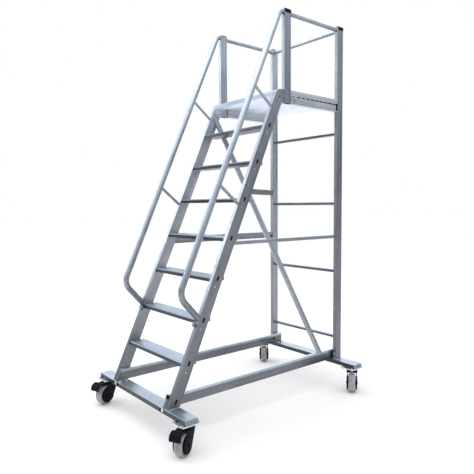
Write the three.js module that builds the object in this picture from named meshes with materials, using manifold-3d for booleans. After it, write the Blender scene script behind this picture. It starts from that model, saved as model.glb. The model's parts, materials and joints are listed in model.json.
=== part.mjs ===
// Rolling warehouse ladder: seven treads, a guarded platform and a wheeled base.
// Millimetres. +Z is up, the climber faces +Y and +X is the climber's right.
// The ladder is drawn from its own centre plane (x = 0), with y = 0 where the
// stiles' front faces meet the top of the base.

import * as THREE from "three";
import { mergeVertices } from "three/addons/utils/BufferGeometryUtils.js";
import Module from "manifold-3d";

const wasm = await Module();
wasm.setup();

// Heights above the floor
const BEAM_TOP = 207;
const FIRST_TREAD_TOP = 464;
const TREAD_RISE = 250;
const TREAD_COUNT = 7;
const PLATFORM_TOP = FIRST_TREAD_TOP + TREAD_COUNT * TREAD_RISE;
const GUARD_HEIGHT = 545;
const GUARD_TOP = PLATFORM_TOP + GUARD_HEIGHT;

// Clearance between pieces that touch or are welded in the real object
const GAP = 0.3;

// Base beams: wide flat extrusions across the ladder
const BEAM = { length: 1100, depth: 90, height: 30, wall: 3, chambers: 4, corner: 2 };
const FRONT_BEAM_Y = 36;
const REAR_BEAM_Y = 1564;
const BEAM_BOTTOM = BEAM_TOP - BEAM.height;

// Stiles: leaning box tubes, drawn by their horizontal depth
const LEAN = 0.45;
const LEAN_ANGLE = Math.atan(LEAN);
const STILE = { width: 28, depth: 82, wall: 2.5 };
const CLEAR_WIDTH = 660;
const STILE_INNER_X = CLEAR_WIDTH / 2;
const STILE_OUTER_X = STILE_INNER_X + STILE.width;
const NOSE_RADIUS = 50;
const SLOT = { length: 34, width: 15, drop: 6, footHeight: 37 };

// Side rails of the base, lying on the beams inside the stiles
const RAIL = { width: 30, height: 75, wall: 2.5, corner: 4, rearEnd: 1589 };

// Treads and deck: ribbed hollow planks
const TREAD = { depth: 110, height: 27, wall: 2.5, chambers: 3, nose: 10, ribs: 7 };
const DECK = { height: 30, wall: 3, chambers: 9, nose: 1.5, ribs: 30 };
const GROOVE = { width: 4, depth: 1.5 };
const NOSING = { height: 46, depth: 58, wall: 3 };

// Posts, and the platform beams between them
const POST = { width: 32, depth: 62, wall: 2.5, corner: 4 };
const POST_INNER_X = 338;
const POST_OUTER_X = POST_INNER_X + POST.width;
const POST_MID_X = POST_INNER_X + POST.width / 2;
const GUARD_POST_Y = 960;
const REAR_POST_Y = 1525;
const SIDE_BEAM = { height: 92, wall: 4, corner: 3, grooveDrop: 36, grooveHeight: 8, grooveDepth: 2 };
const CAP = { flange: 5, insert: 18, wall: 2 };

// Round tubes
const TOP_RAIL = { radius: 15, wall: 2, drop: 24 };
const RUNG = { radius: 12.5, wall: 2, heights: [176, 694, 1221, 1754] };
const HANDRAIL = { x: 350, radius: 20, wall: 2.5, forward: 209, bend: 90, topBend: 35, topDrop: 16 };
const HANDRAIL_FOOT = { y: 228, z: 725, elbowY: 92, elbowZ: 875 };
const FOOT_PLATE = { width: 24, height: 70, thickness: 4 };
const STRUT = { x: 346, radius: 10 };
const STRUT_LINES = [
  { rail: [706, 2207], stile: [844, 2098] },
  { rail: [408, 1547], stile: [555, 1428] },
];

// Bracing
const TIE = { width: 20, wall: 2, corner: 3, top: 1186, leftHeight: 50, rightHeight: 24, channelTop: 1162 };
const BRACE = { radius: 20, wall: 2, top: [-330, 900, 2082], bottom: [313, 1390, 285] };
const STAY = { height: 45, width: 20, wall: 2, corner: 3, z: 1527 };

// Casters: swivel axes, and where each wheel trails (degrees from the climbing side towards +X)
const SWIVEL_X = 497;
const CASTERS = [
  { name: "front_right", x: SWIVEL_X, y: FRONT_BEAM_Y, yaw: 29, pedal: true },
  { name: "front_left", x: -SWIVEL_X, y: FRONT_BEAM_Y, yaw: 19, pedal: true },
  { name: "rear_right", x: SWIVEL_X, y: REAR_BEAM_Y, yaw: 37, pedal: false },
  { name: "rear_left", x: -SWIVEL_X, y: REAR_BEAM_Y, yaw: 46, pedal: false },
];
const PLATE = { x: 112, y: 134, thickness: 8, corner: 8, boltX: 40, boltY: 55, boltHead: 8.5, boltHeight: 5.5 };
const KINGPIN = { radius: 7, bottom: 131, nut: 12, nutTop: 141.6, raceRadius: 32, raceBottom: 148.4 };
const CROWN = { back: -40, front: 44, halfWidth: 40, bottom: 142, top: 148, cupOuter: 38, cupInner: 33, cupTop: 164 };
const LEG = { inner: 31, outer: 36, eye: 54 };
const LUG = { inner: 29, outer: 36, radius: 8 };
const WHEEL = { radius: 69, width: 50, trail: 48, sides: 48, bore: 6.4, hubRadius: 20, hubWidth: 58 };
const AXLE = { radius: 6, head: 10.5, headHeight: 7 };
const PEDAL = { hingeX: 54, hingeZ: 147.5, pin: 4, armHalf: 28, padHalf: 36, padBack: 100, reach: 145 };

const FLAT = 24;

// ---------- drawing helpers ----------

const radians = (degrees) => (degrees * Math.PI) / 180;
const leanY = (z) => LEAN * (z - BEAM_TOP);
const treadTop = (step) => FIRST_TREAD_TOP + (step - 1) * TREAD_RISE;

function vectors(points) {
  return points.map(([u, v]) => new THREE.Vector2(u, v));
}

function section(outline, holes = []) {
  return { outline, holes };
}

function arc(u, v, radius, from, to, steps) {
  const points = [];
  for (let i = 0; i <= steps; i += 1) {
    const angle = radians(from + ((to - from) * i) / steps);
    points.push([u + radius * Math.cos(angle), v + radius * Math.sin(angle)]);
  }
  return points;
}

function rectangle(u0, u1, v0, v1, radius = 0) {
  if (radius === 0) {
    return [[u0, v0], [u1, v0], [u1, v1], [u0, v1]];
  }
  return [
    ...arc(u1 - radius, v0 + radius, radius, -90, 0, 3),
    ...arc(u1 - radius, v1 - radius, radius, 0, 90, 3),
    ...arc(u0 + radius, v1 - radius, radius, 90, 180, 3),
    ...arc(u0 + radius, v0 + radius, radius, 180, 270, 3),
  ];
}

function boxRing(u0, u1, v0, v1, wall, radius) {
  return section(rectangle(u0, u1, v0, v1, radius), [rectangle(u0 + wall, u1 - wall, v0 + wall, v1 - wall)]);
}

function circle(radius, sides = FLAT) {
  return arc(0, 0, radius, 0, 360, sides).slice(0, -1);
}

// Equal chambers side by side in a hollow plank
function chambers(u0, u1, v0, v1, wall, count) {
  const pitch = (u1 - u0 - wall) / count;
  const holes = [];
  for (let i = 0; i < count; i += 1) {
    const start = u0 + wall + i * pitch;
    holes.push(rectangle(start, start + pitch - wall, v0 + wall, v1 - wall));
  }
  return holes;
}

function prism(outline, start, end) {
  const shape = new THREE.Shape(vectors(outline));
  const options = { depth: end - start, bevelEnabled: false };
  return new THREE.ExtrudeGeometry(shape, options).translate(0, 0, start);
}

function extrude({ outline, holes }, length) {
  const body = prism(outline, 0, length);
  return holes.length === 0 ? body : cut(body, ...holes.map((hole) => prism(hole, -1, length + 1)));
}

// A section drawn in (y, z), run from x0 to x1
function alongX(shape, x0, x1) {
  const geometry = extrude(shape, x1 - x0);
  const toX = new THREE.Matrix4().makeBasis(
    new THREE.Vector3(0, 1, 0),
    new THREE.Vector3(0, 0, 1),
    new THREE.Vector3(1, 0, 0),
  );
  return geometry.applyMatrix4(toX).translate(x0, 0, 0);
}

// A section drawn in (x, z), run from y0 to y1
function alongY(shape, y0, y1) {
  return extrude(shape, y1 - y0).rotateX(Math.PI / 2).translate(0, y1, 0);
}

// A section drawn in (x, y), run from z0 to z1
function alongZ(shape, z0, z1) {
  return extrude(shape, z1 - z0).translate(0, 0, z0);
}

// A round bar or tube between two points
function round(from, to, radius, wall = 0, sides = FLAT) {
  const start = new THREE.Vector3(...from);
  const run = new THREE.Vector3(...to).sub(start);
  const holes = wall > 0 ? [circle(radius - wall, sides)] : [];
  const turn = new THREE.Quaternion().setFromUnitVectors(new THREE.Vector3(0, 0, 1), run.clone().normalize());
  return extrude(section(circle(radius, sides), holes), run.length()).applyQuaternion(turn).translate(...from);
}

function toSolid(geometry) {
  const plain = geometry.clone();
  plain.deleteAttribute("normal");
  plain.deleteAttribute("uv");
  const merged = mergeVertices(plain, 1e-4);
  return new wasm.Manifold(new wasm.Mesh({
    numProp: 3,
    vertProperties: Float32Array.from(merged.attributes.position.array),
    triVerts: Uint32Array.from(merged.index.array),
  }));
}

function toGeometry(solid) {
  const mesh = solid.getMesh();
  const geometry = new THREE.BufferGeometry();
  geometry.setAttribute("position", new THREE.BufferAttribute(Float32Array.from(mesh.vertProperties), 3));
  geometry.setIndex(new THREE.BufferAttribute(Uint32Array.from(mesh.triVerts), 1));
  const flat = geometry.toNonIndexed();
  flat.computeVertexNormals();
  return flat;
}

function cut(body, ...tools) {
  return toGeometry(tools.reduce((rest, tool) => rest.subtract(toSolid(tool)), toSolid(body)));
}

function join(first, ...others) {
  return toGeometry(others.reduce((sum, other) => sum.add(toSolid(other)), toSolid(first)));
}

// ---------- materials ----------

function material(colour, roughness, metalness) {
  return () => new THREE.MeshStandardMaterial({ color: colour, roughness, metalness });
}

const ALUMINIUM = material(0xb9bec6, 0.42, 0.9);
const DECKING = material(0xc9d2e0, 0.5, 0.85);
const ZINC = material(0xc4c8cb, 0.35, 0.95);
const BLACK_STEEL = material(0x1c1d20, 0.5, 0.4);
const BLACK_PLASTIC = material(0x16171a, 0.6, 0.0);
const TYRE = material(0x8d939a, 0.55, 0.0);

const pieces = new THREE.Group();
pieces.name = "rolling_ladder";

function add(name, geometry, makeMaterial, parent = pieces) {
  const mesh = new THREE.Mesh(geometry, makeMaterial());
  mesh.name = name;
  parent.add(mesh);
  return mesh;
}

const SIDES = [
  { side: "left", sign: -1 },
  { side: "right", sign: 1 },
];

// Orders the x range of a piece that is drawn for the right and repeated on the left
function span(sign, inner, outer) {
  return sign > 0 ? [inner, outer] : [-outer, -inner];
}

// ---------- base ----------

function beamGeometry(y) {
  const half = BEAM.depth / 2;
  const outline = rectangle(y - half, y + half, BEAM_BOTTOM, BEAM_TOP, BEAM.corner);
  const holes = chambers(y - half, y + half, BEAM_BOTTOM, BEAM_TOP, BEAM.wall, BEAM.chambers);
  return alongX(section(outline, holes), -BEAM.length / 2, BEAM.length / 2);
}

function sideRailGeometry(sign) {
  const [x0, x1] = span(sign, STILE_INNER_X - RAIL.width, STILE_INNER_X - GAP);
  const bottom = BEAM_TOP + GAP;
  const tube = boxRing(x0, x1, bottom, BEAM_TOP + RAIL.height, RAIL.wall, RAIL.corner);
  return cut(alongY(tube, -RAIL.height, RAIL.rearEnd), leaningBlock(-4 * RAIL.height, 0));
}

function addBase() {
  add("front_beam", beamGeometry(FRONT_BEAM_Y), ALUMINIUM);
  add("rear_beam", beamGeometry(REAR_BEAM_Y), ALUMINIUM);
  for (const { side, sign } of SIDES) {
    add(`side_rail_${side}`, sideRailGeometry(sign), ALUMINIUM);
  }
}

// ---------- climbing side ----------

// A block between two planes that lean like the stiles, as wide as the ladder
function leaningBlock(front, back) {
  const reach = BEAM.length;
  const outline = [
    [leanY(0) + front, 0],
    [leanY(0) + back, 0],
    [leanY(GUARD_TOP) + back, GUARD_TOP],
    [leanY(GUARD_TOP) + front, GUARD_TOP],
  ];
  return alongX(section(outline), -reach, reach);
}

// Front line of the stiles with its rounded top, followed by the given back edge
function nosedOutline(bottom, inset, backEdge) {
  const top = PLATFORM_TOP - inset;
  const radius = NOSE_RADIUS - inset;
  const setBack = inset / Math.cos(LEAN_ANGLE);
  const corner = Math.tan((Math.PI / 2 - LEAN_ANGLE) / 2) * radius;
  const centreY = leanY(top) + setBack + corner;
  const flank = 180 - THREE.MathUtils.radToDeg(LEAN_ANGLE);
  const front = [[leanY(bottom) + setBack, bottom], ...arc(centreY, top - radius, radius, flank, 90, 8)];
  return section([...front, ...backEdge]);
}

// The stile's back is trimmed upright where the guard post stands behind it
function stileOutline(bottom, inset) {
  const top = PLATFORM_TOP - inset;
  const back = STILE.depth - inset / Math.cos(LEAN_ANGLE);
  const trimY = GUARD_POST_Y - GAP - inset;
  const trimZ = BEAM_TOP + (trimY - back) / LEAN;
  return nosedOutline(bottom, inset, [[trimY, top], [trimY, trimZ], [leanY(bottom) + back, bottom]]);
}

function slotCutter(sign, z) {
  const straight = SLOT.length / 2 - SLOT.width / 2;
  const outline = [
    ...arc(0, straight, SLOT.width / 2, 0, 180, 8),
    ...arc(0, -straight, SLOT.width / 2, 180, 360, 8),
  ];
  const [x0, x1] = span(sign, STILE_OUTER_X - 2 * STILE.wall, STILE_OUTER_X + STILE.wall);
  const cutter = alongX(section(outline), x0, x1);
  return cutter.rotateX(-LEAN_ANGLE).translate(0, leanY(z) + STILE.depth / 2, z);
}

function stileGeometry(sign) {
  const [x0, x1] = span(sign, STILE_INNER_X, STILE_OUTER_X);
  const outside = alongX(stileOutline(BEAM_TOP + GAP, 0), x0, x1);
  const inside = alongX(stileOutline(BEAM_BOTTOM, STILE.wall), x0 + STILE.wall, x1 - STILE.wall);
  const slots = [slotCutter(sign, BEAM_TOP + SLOT.footHeight)];
  for (let step = 1; step <= TREAD_COUNT; step += 1) {
    slots.push(slotCutter(sign, treadTop(step) - SLOT.drop));
  }
  return cut(outside, inside, ...slots);
}

// Ribbed hollow plank across the ladder: rounded front edge, grooves along the top
function plankGeometry(y0, y1, top, plank) {
  const reach = STILE_INNER_X - GAP;
  const bottom = top - plank.height;
  const nose = arc(y0 + plank.nose, top - plank.nose, plank.nose, 90, 180, 5);
  const outline = [[y0, bottom], [y1, bottom], [y1, top], ...nose];
  const hollowTop = top - GROOVE.depth;
  const holes = chambers(y0 + plank.nose / 2, y1, bottom, hollowTop, plank.wall, plank.chambers);
  const pitch = (y1 - y0 - plank.nose) / plank.ribs;
  const grooves = [];
  for (let rib = 1; rib < plank.ribs; rib += 1) {
    const middle = y0 + plank.nose + rib * pitch;
    const outer = GROOVE.width / 2 + GROOVE.depth;
    const inner = GROOVE.width / 2 - GROOVE.depth;
    const vee = [
      [middle - inner, top - GROOVE.depth],
      [middle + inner, top - GROOVE.depth],
      [middle + outer, top + GROOVE.depth],
      [middle - outer, top + GROOVE.depth],
    ];
    grooves.push(alongX(section(vee), -reach - 1, reach + 1));
  }
  return cut(alongX(section(outline, holes), -reach, reach), ...grooves);
}

function addClimbingSide() {
  for (const { side, sign } of SIDES) {
    add(`stile_${side}`, stileGeometry(sign), ALUMINIUM);
  }
  for (let step = 1; step <= TREAD_COUNT; step += 1) {
    const top = treadTop(step);
    add(`tread_${step}`, plankGeometry(leanY(top), leanY(top) + TREAD.depth, top, TREAD), DECKING);
  }
}

// ---------- handrails ----------

// Points of a line of straights joined by round bends, in (y, z)
function bentLine(corners, radii) {
  const line = [corners[0]];
  for (let i = 1; i < corners.length - 1; i += 1) {
    const here = new THREE.Vector2(...corners[i]);
    const before = new THREE.Vector2(...corners[i - 1]).sub(here).normalize();
    const after = new THREE.Vector2(...corners[i + 1]).sub(here).normalize();
    const half = Math.acos(before.dot(after)) / 2;
    const middle = before.clone().add(after).normalize();
    const centre = here.clone().addScaledVector(middle, radii[i - 1] / Math.sin(half));
    const start = here.clone().addScaledVector(before, radii[i - 1] / Math.tan(half)).sub(centre);
    const turn = Math.sign(before.cross(after)) * (Math.PI - 2 * half);
    const steps = 8;
    for (let step = 0; step <= steps; step += 1) {
      const spoke = start.clone().rotateAround(new THREE.Vector2(), (-turn * step) / steps);
      line.push([centre.x + spoke.x, centre.y + spoke.y]);
    }
  }
  line.push(corners[corners.length - 1]);
  return line;
}

// A curve that passes through each given point once per step
class Route extends THREE.Curve {
  constructor(points) {
    super();
    this.points = points;
  }

  getPointAt(u) {
    return this.points[Math.round(u * (this.points.length - 1))].clone();
  }

  getTangentAt(u) {
    const last = this.points.length - 1;
    const index = Math.round(u * last);
    const before = this.points[Math.max(index - 1, 0)];
    const after = this.points[Math.min(index + 1, last)];
    const here = this.points[index];
    const ahead = after.clone().sub(here).normalize();
    return ahead.add(here.clone().sub(before).normalize()).normalize();
  }
}

function handrailGeometry(sign) {
  const x = sign * HANDRAIL.x;
  const topZ = GUARD_TOP - HANDRAIL.topDrop;
  const topY = leanY(topZ) - HANDRAIL.forward;
  const intoStile = [
    HANDRAIL_FOOT.y + (HANDRAIL_FOOT.y - HANDRAIL_FOOT.elbowY) / 4,
    HANDRAIL_FOOT.z + (HANDRAIL_FOOT.z - HANDRAIL_FOOT.elbowZ) / 4,
  ];
  const corners = [
    [GUARD_POST_Y - GAP, topZ],
    [topY, topZ],
    [HANDRAIL_FOOT.elbowY, HANDRAIL_FOOT.elbowZ],
    intoStile,
  ];
  const line = bentLine(corners, [HANDRAIL.topBend, HANDRAIL.bend]);
  const route = new Route(line.map(([y, z]) => new THREE.Vector3(x, y, z)));
  const ring = new THREE.Shape(vectors(circle(HANDRAIL.radius)));
  ring.holes.push(new THREE.Path(vectors(circle(HANDRAIL.radius - HANDRAIL.wall))));
  const tube = new THREE.ExtrudeGeometry(ring, { steps: line.length - 1, extrudePath: route, bevelEnabled: false });
  const trimmed = cut(tube, leaningBlock(-GAP - FOOT_PLATE.thickness, STILE.depth));
  return join(trimmed, footPlateGeometry(x));
}

// Flat foot of the handrail on the front face of the stile
function footPlateGeometry(x) {
  const front = -GAP - FOOT_PLATE.thickness - 0.2;
  const low = HANDRAIL_FOOT.z - FOOT_PLATE.height / 2;
  const high = HANDRAIL_FOOT.z + FOOT_PLATE.height / 2;
  const outline = [
    [leanY(low) + front, low],
    [leanY(low) - GAP, low],
    [leanY(high) - GAP, high],
    [leanY(high) + front, high],
  ];
  return alongX(section(outline), x - FOOT_PLATE.width / 2, x + FOOT_PLATE.width / 2);
}

function strutGeometry(sign, line) {
  const x = sign * STRUT.x;
  const rail = new THREE.Vector3(x, ...line.rail);
  const stile = new THREE.Vector3(x, ...line.stile);
  const run = stile.clone().sub(rail).normalize().multiplyScalar(2 * HANDRAIL.radius);
  const bar = round(rail.clone().sub(run).toArray(), stile.clone().add(run).toArray(), STRUT.radius);
  const axis = -HANDRAIL.forward;
  const high = GUARD_TOP - 4 * HANDRAIL.topBend;
  const low = HANDRAIL_FOOT.elbowZ + HANDRAIL.bend;
  const handrail = round(
    [sign * HANDRAIL.x, leanY(low) + axis, low],
    [sign * HANDRAIL.x, leanY(high) + axis, high],
    HANDRAIL.radius + GAP,
  );
  const beyond = leaningBlock(axis - 8 * HANDRAIL.radius, axis);
  return cut(bar, handrail, beyond, leaningBlock(-GAP, 2 * STILE.depth));
}

function addHandrails() {
  for (const { side, sign } of SIDES) {
    add(`handrail_${side}`, handrailGeometry(sign), ALUMINIUM);
    STRUT_LINES.forEach((line, index) => {
      const place = index === 0 ? "upper" : "lower";
      add(`handrail_strut_${place}_${side}`, strutGeometry(sign, line), ALUMINIUM);
    });
  }
}

// ---------- platform and guard ----------

function nosingGeometry() {
  const reach = STILE_INNER_X - GAP;
  const bottom = PLATFORM_TOP - NOSING.height;
  const back = leanY(PLATFORM_TOP) + NOSING.depth;
  const outside = nosedOutline(bottom, 0, [[back, PLATFORM_TOP], [back, bottom]]);
  const insideBack = back - NOSING.wall;
  const insideTop = PLATFORM_TOP - NOSING.wall;
  const insideBottom = bottom + NOSING.wall;
  const inside = nosedOutline(insideBottom, NOSING.wall, [[insideBack, insideTop], [insideBack, insideBottom]]);
  return cut(alongX(outside, -reach, reach), alongX(inside, -2 * reach, 2 * reach));
}

// Box beam at the platform's edge, with a shallow groove along its outer face
function sideBeamGeometry(sign) {
  const top = PLATFORM_TOP;
  const front = GUARD_POST_Y + POST.depth + GAP;
  const back = REAR_POST_Y - GAP;
  const [x0, x1] = span(sign, STILE_INNER_X, POST_OUTER_X);
  const tube = boxRing(x0, x1, top - SIDE_BEAM.height, top, SIDE_BEAM.wall, SIDE_BEAM.corner);
  const grooveTop = top - SIDE_BEAM.grooveDrop;
  const [g0, g1] = span(sign, POST_OUTER_X - SIDE_BEAM.grooveDepth, POST_OUTER_X + 1);
  const groove = rectangle(g0, g1, grooveTop - SIDE_BEAM.grooveHeight, grooveTop);
  return cut(alongY(tube, front, back), alongY(section(groove), front - 1, back + 1));
}

function capGeometry(x0, x1, y0, y1) {
  const under = GUARD_TOP - CAP.flange;
  const flange = alongZ(section(rectangle(x0, x1, y0, y1, POST.corner)), under, GUARD_TOP);
  const inset = POST.wall + GAP;
  const plug = boxRing(x0 + inset, x1 - inset, y0 + inset, y1 - inset, CAP.wall, 0);
  return join(flange, alongZ(plug, under - CAP.insert, under + 1));
}

function addPost(name, sign, y, bottom) {
  const [x0, x1] = span(sign, POST_INNER_X, POST_OUTER_X);
  const tube = boxRing(x0, x1, y, y + POST.depth, POST.wall, POST.corner);
  add(name, alongZ(tube, bottom, GUARD_TOP - CAP.flange - GAP), ALUMINIUM);
  add(`${name}_cap`, capGeometry(x0, x1, y, y + POST.depth), BLACK_PLASTIC);
}

function addPlatform() {
  add("platform_nosing", nosingGeometry(), DECKING);
  const deckFront = leanY(PLATFORM_TOP) + NOSING.depth + GAP;
  const deckBack = REAR_POST_Y + POST.depth;
  add("platform_deck", plankGeometry(deckFront, deckBack, PLATFORM_TOP, DECK), DECKING);
  for (const { side, sign } of SIDES) {
    add(`platform_beam_${side}`, sideBeamGeometry(sign), ALUMINIUM);
    addPost(`guard_post_${side}`, sign, GUARD_POST_Y, PLATFORM_TOP - SIDE_BEAM.height);
    addPost(`rear_post_${side}`, sign, REAR_POST_Y, BEAM_TOP + GAP);
  }
}

function addTopRails() {
  const z = GUARD_TOP - TOP_RAIL.drop;
  const front = GUARD_POST_Y + POST.depth + GAP;
  const back = REAR_POST_Y - GAP;
  for (const { side, sign } of SIDES) {
    const x = sign * POST_MID_X;
    add(`top_rail_${side}`, round([x, front, z], [x, back, z], TOP_RAIL.radius, TOP_RAIL.wall), ALUMINIUM);
  }
  const y = REAR_POST_Y + POST.depth / 2;
  const reach = POST_INNER_X - GAP;
  add("top_rail_rear", round([-reach, y, z], [reach, y, z], TOP_RAIL.radius, TOP_RAIL.wall), ALUMINIUM);
}

// ---------- bracing ----------

function addRungs() {
  const y = REAR_POST_Y + POST.depth / 2;
  const reach = POST_INNER_X - GAP;
  RUNG.heights.forEach((height, index) => {
    const z = BEAM_TOP + height;
    add(`rear_rung_${index + 1}`, round([-reach, y, z], [reach, y, z], RUNG.radius, RUNG.wall), ALUMINIUM);
  });
}

// The left tie is deeper; its lower half is a channel open towards the middle of the ladder
function tieGeometry(sign) {
  const middle = sign * (POST_INNER_X + STILE_OUTER_X) / 2;
  const half = TIE.width / 2;
  const bottom = TIE.top - (sign > 0 ? TIE.rightHeight : TIE.leftHeight);
  const holeBottom = sign > 0 ? bottom : TIE.channelTop - TIE.wall;
  const outline = rectangle(middle - half, middle + half, bottom, TIE.top, TIE.corner);
  const inner = { x0: middle - half + TIE.wall, x1: middle + half - TIE.wall };
  const holes = [rectangle(inner.x0, inner.x1, holeBottom + TIE.wall, TIE.top - TIE.wall)];
  if (sign < 0) {
    holes.push(rectangle(inner.x0, inner.x1 + 2 * TIE.wall, bottom + TIE.wall, TIE.channelTop - TIE.wall));
  }
  const tube = alongY(section(outline, holes), leanY(bottom), REAR_POST_Y - GAP);
  return cut(tube, leaningBlock(-STILE.depth, STILE.depth + GAP));
}

// The brace as a plain bar, longer than needed at both ends
function braceBar(radius, wall) {
  const top = new THREE.Vector3(...BRACE.top);
  const bottom = new THREE.Vector3(...BRACE.bottom);
  const run = bottom.clone().sub(top).normalize().multiplyScalar(4 * BRACE.radius);
  return round(top.sub(run).toArray(), bottom.add(run).toArray(), radius, wall);
}

function braceGeometry() {
  const far = BEAM.length;
  const wide = rectangle(-far, far, -far, 3 * far);
  const belowRail = alongZ(section(wide), 0, BEAM_TOP + RAIL.height + GAP);
  const stileSide = rectangle(0, 3 * far, 0, 3 * far);
  const outsideStile = alongX(section(stileSide), -far, -STILE_INNER_X + GAP);
  return cut(braceBar(BRACE.radius, BRACE.wall), belowRail, outsideStile);
}

function stayGeometry() {
  const top = new THREE.Vector3(...BRACE.top);
  const bottom = new THREE.Vector3(...BRACE.bottom);
  const share = (top.z - STAY.z) / (top.z - bottom.z);
  const start = top.lerp(bottom, share);
  const end = new THREE.Vector3(-POST_MID_X, REAR_POST_Y, STAY.z);
  const run = end.clone().sub(start);
  const length = run.length() + POST.depth;
  const half = { x: STAY.width / 2, z: STAY.height / 2 };
  const tube = boxRing(-half.x, half.x, -half.z, half.z, STAY.wall, STAY.corner);
  const bar = alongY(tube, 0, length);
  bar.rotateZ(Math.atan2(-run.x, run.y)).translate(start.x, start.y, start.z);
  const postSide = rectangle(REAR_POST_Y - GAP, 2 * REAR_POST_Y, 0, GUARD_TOP);
  const behindPost = alongX(section(postSide), -BEAM.length, BEAM.length);
  return cut(bar, braceBar(BRACE.radius + GAP, 0), behindPost);
}

function addBracing() {
  for (const { side, sign } of SIDES) {
    add(`mid_tie_${side}`, tieGeometry(sign), ALUMINIUM);
  }
  add("diagonal_brace", braceGeometry(), ALUMINIUM);
  add("brace_stay", stayGeometry(), ALUMINIUM);
  addRungs();
}

// ---------- casters ----------
// Each caster is drawn about its swivel axis, with the wheel trailing towards +x.

function hexagon(x, y, radius) {
  return arc(x, y, radius, 0, 360, 6).slice(0, -1);
}

function casterPlateGeometry() {
  const top = BEAM_BOTTOM - GAP;
  const under = top - PLATE.thickness;
  const outline = rectangle(-PLATE.x / 2, PLATE.x / 2, -PLATE.y / 2, PLATE.y / 2, PLATE.corner);
  const parts = [
    alongZ(section(circle(KINGPIN.raceRadius)), KINGPIN.raceBottom, under + 1),
    alongZ(section(circle(KINGPIN.radius)), KINGPIN.bottom, KINGPIN.raceBottom + 1),
    alongZ(section(hexagon(0, 0, KINGPIN.nut)), KINGPIN.bottom + 2, KINGPIN.nutTop),
  ];
  for (const x of [-PLATE.boltX, PLATE.boltX]) {
    for (const y of [-PLATE.boltY, PLATE.boltY]) {
      const bolt = section(hexagon(x, y, PLATE.boltHead));
      parts.push(alongZ(bolt, under - PLATE.boltHeight, top + PLATE.boltHeight));
    }
  }
  return join(alongZ(section(outline), under, top), ...parts);
}

function legOutline() {
  const { trail, radius } = WHEEL;
  return [
    [CROWN.back, CROWN.top - 2],
    [CROWN.back, CROWN.bottom - 10],
    ...arc(trail, radius, LEG.eye, 190, 420, 18),
    [CROWN.front, CROWN.bottom - 10],
    [CROWN.front, CROWN.top - 2],
  ];
}

function lugOutline() {
  return [
    [CROWN.front - 4, PEDAL.hingeZ - LUG.radius],
    ...arc(PEDAL.hingeX, PEDAL.hingeZ, LUG.radius, -90, 90, 8),
    [CROWN.front - 4, PEDAL.hingeZ + LUG.radius],
  ];
}

function forkGeometry(hasPedal) {
  const plate = rectangle(CROWN.back, CROWN.front, -CROWN.halfWidth, CROWN.halfWidth, PLATE.corner);
  const cup = section(circle(CROWN.cupOuter), [circle(CROWN.cupInner)]);
  const parts = [alongZ(cup, CROWN.top - 1, CROWN.cupTop)];
  const axleY = 2 * LEG.outer;
  const bores = [
    alongZ(section(circle(KINGPIN.radius + 2 * GAP)), CROWN.bottom - 1, CROWN.cupTop),
    round([WHEEL.trail, -axleY, WHEEL.radius], [WHEEL.trail, axleY, WHEEL.radius], WHEEL.bore),
  ];
  for (const [inner, outer] of [[LEG.inner, LEG.outer], [-LEG.outer, -LEG.inner]]) {
    parts.push(alongY(section(legOutline()), inner, outer));
  }
  if (hasPedal) {
    for (const [inner, outer] of [[LUG.inner, LUG.outer], [-LUG.outer, -LUG.inner]]) {
      parts.push(alongY(section(lugOutline()), inner, outer));
    }
    const pin = PEDAL.pin + GAP;
    bores.push(round([PEDAL.hingeX, -axleY, PEDAL.hingeZ], [PEDAL.hingeX, axleY, PEDAL.hingeZ], pin));
  }
  return cut(join(alongZ(section(plate), CROWN.bottom, CROWN.top), ...parts), ...bores);
}

function wheelGeometry() {
  const half = WHEEL.width / 2;
  const hub = WHEEL.hubWidth / 2;
  const side = [
    [WHEEL.bore, -hub],
    [WHEEL.hubRadius, -hub],
    [WHEEL.hubRadius + 2, -half / 2],
    [WHEEL.radius - 18, -half / 2],
    [WHEEL.radius - 15, -half],
    [WHEEL.radius - 5, -half],
    [WHEEL.radius, -half + 7],
  ];
  const mirrored = side.map(([radius, y]) => [radius, -y]).reverse();
  const profile = [...side, ...mirrored, side[0]];
  const wheel = new THREE.LatheGeometry(vectors(profile), WHEEL.sides, Math.PI / WHEEL.sides);
  return wheel.translate(WHEEL.trail, 0, WHEEL.radius);
}

function axleGeometry() {
  const { trail, radius } = WHEEL;
  const end = LEG.outer + GAP + AXLE.headHeight;
  const shaft = round([trail, -end, radius], [trail, end, radius], AXLE.radius);
  const head = section(hexagon(trail, radius, AXLE.head));
  const inner = LEG.outer + GAP;
  return join(shaft, alongY(head, inner, end - 1), alongY(head, -end + 1, -inner));
}

function pedalGeometry() {
  const { hingeX, hingeZ, armHalf, padHalf, reach } = PEDAL;
  const barrel = arc(hingeX, hingeZ, LUG.radius - 1, 100, 280, 8);
  const arm = [...barrel, [92, 147.5], [112, 151], [112, 160], [92, 162.5], [70, 156.5]];
  const pad = [[PEDAL.padBack, 156], [112, 155.5], [124, 151], [133, 142], [138, 131], [138.5, 119], [144, 118],
    [reach, 131], [141, 146], [132, 157], [119, 164], [PEDAL.padBack, 166]];
  const pinEnd = LUG.outer + 2;
  return join(
    alongY(section(arm), -armHalf, armHalf),
    alongY(section(pad), -padHalf, padHalf),
    round([hingeX, -pinEnd, hingeZ], [hingeX, pinEnd, hingeZ], PEDAL.pin),
  );
}

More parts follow.
